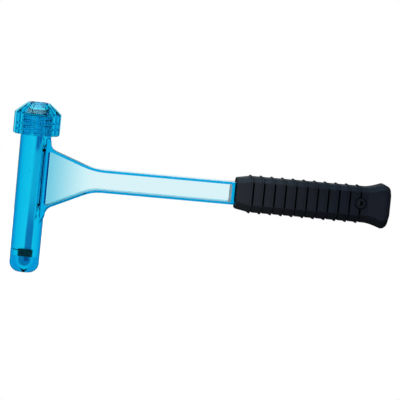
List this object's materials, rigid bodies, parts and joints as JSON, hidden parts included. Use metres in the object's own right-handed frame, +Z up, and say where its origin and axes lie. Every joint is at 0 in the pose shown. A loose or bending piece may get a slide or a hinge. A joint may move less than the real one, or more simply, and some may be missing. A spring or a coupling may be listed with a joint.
{
  "type": "kinetic puller mallet",
  "caption": "Translucent kinetic puller mallet: hollow striking tube with a lobed screw cap over a split collet, flared pocketed handle and ribbed rubber grip.",
  "frame": {"origin": "centre of the flat striking face at the closed end of the head tube", "axes": "+Z up the head's axis to the screw cap, +X along the handle to the grip's butt, +Y through the thickness"},
  "size_m": [0.3343, 0.0406, 0.148],
  "materials": {
    "tinted_plastic": "polished, transparent and tinted blue",
    "collet_metal": "turned",
    "seal_rubber": "smooth matt",
    "grip_rubber": "fine matt grain"
  },
  "bodies": {
    "mallet": {"mallet_body": "tinted_plastic", "cushion_pad": "seal_rubber", "grip_sleeve": "grip_rubber"},
    "chuck": {"collet_o_ring": "seal_rubber"},
    "cap": {"screw_cap": "tinted_plastic"},
    "jaw_1": {"collet_jaw_1": "collet_metal"},
    "jaw_2": {"collet_jaw_2": "collet_metal"},
    "jaw_3": {"collet_jaw_3": "collet_metal"}
  },
  "joints": [
    {"name": "chuck_rise", "type": "slide", "parent": "mallet", "child": "chuck", "axis": [0, 0, 1], "range_m": [0, 0.0275]},
    {"name": "cap_turn", "type": "hinge", "parent": "chuck", "child": "cap", "pos_m": [0, 0, 0.13], "axis": [0, 0, 1], "range_deg": [0, 1981]},
    {"name": "jaw_1_open", "type": "slide", "parent": "chuck", "child": "jaw_1", "axis": [1, 0, 0], "range_m": [0, 0.0008], "stiffness_N_per_m": 800, "springref_m": -0.0003, "deforming": ["collet_o_ring"]},
    {"name": "jaw_2_open", "type": "slide", "parent": "chuck", "child": "jaw_2", "axis": [-0.5, 0.866, 0], "range_m": [0, 0.0008], "stiffness_N_per_m": 800, "springref_m": -0.0003},
    {"name": "jaw_3_open", "type": "slide", "parent": "chuck", "child": "jaw_3", "axis": [-0.5, -0.866, 0], "range_m": [0, 0.0008], "stiffness_N_per_m": 800, "springref_m": -0.0003}
  ],
  "couplings": [
    {"joint": "cap_turn", "follows": "chuck_rise", "rad_per_m": 1256.6},
    {"joint": "jaw_2_open", "follows": "jaw_1_open", "ratio": 1},
    {"joint": "jaw_3_open", "follows": "jaw_1_open", "ratio": 1}
  ]
}
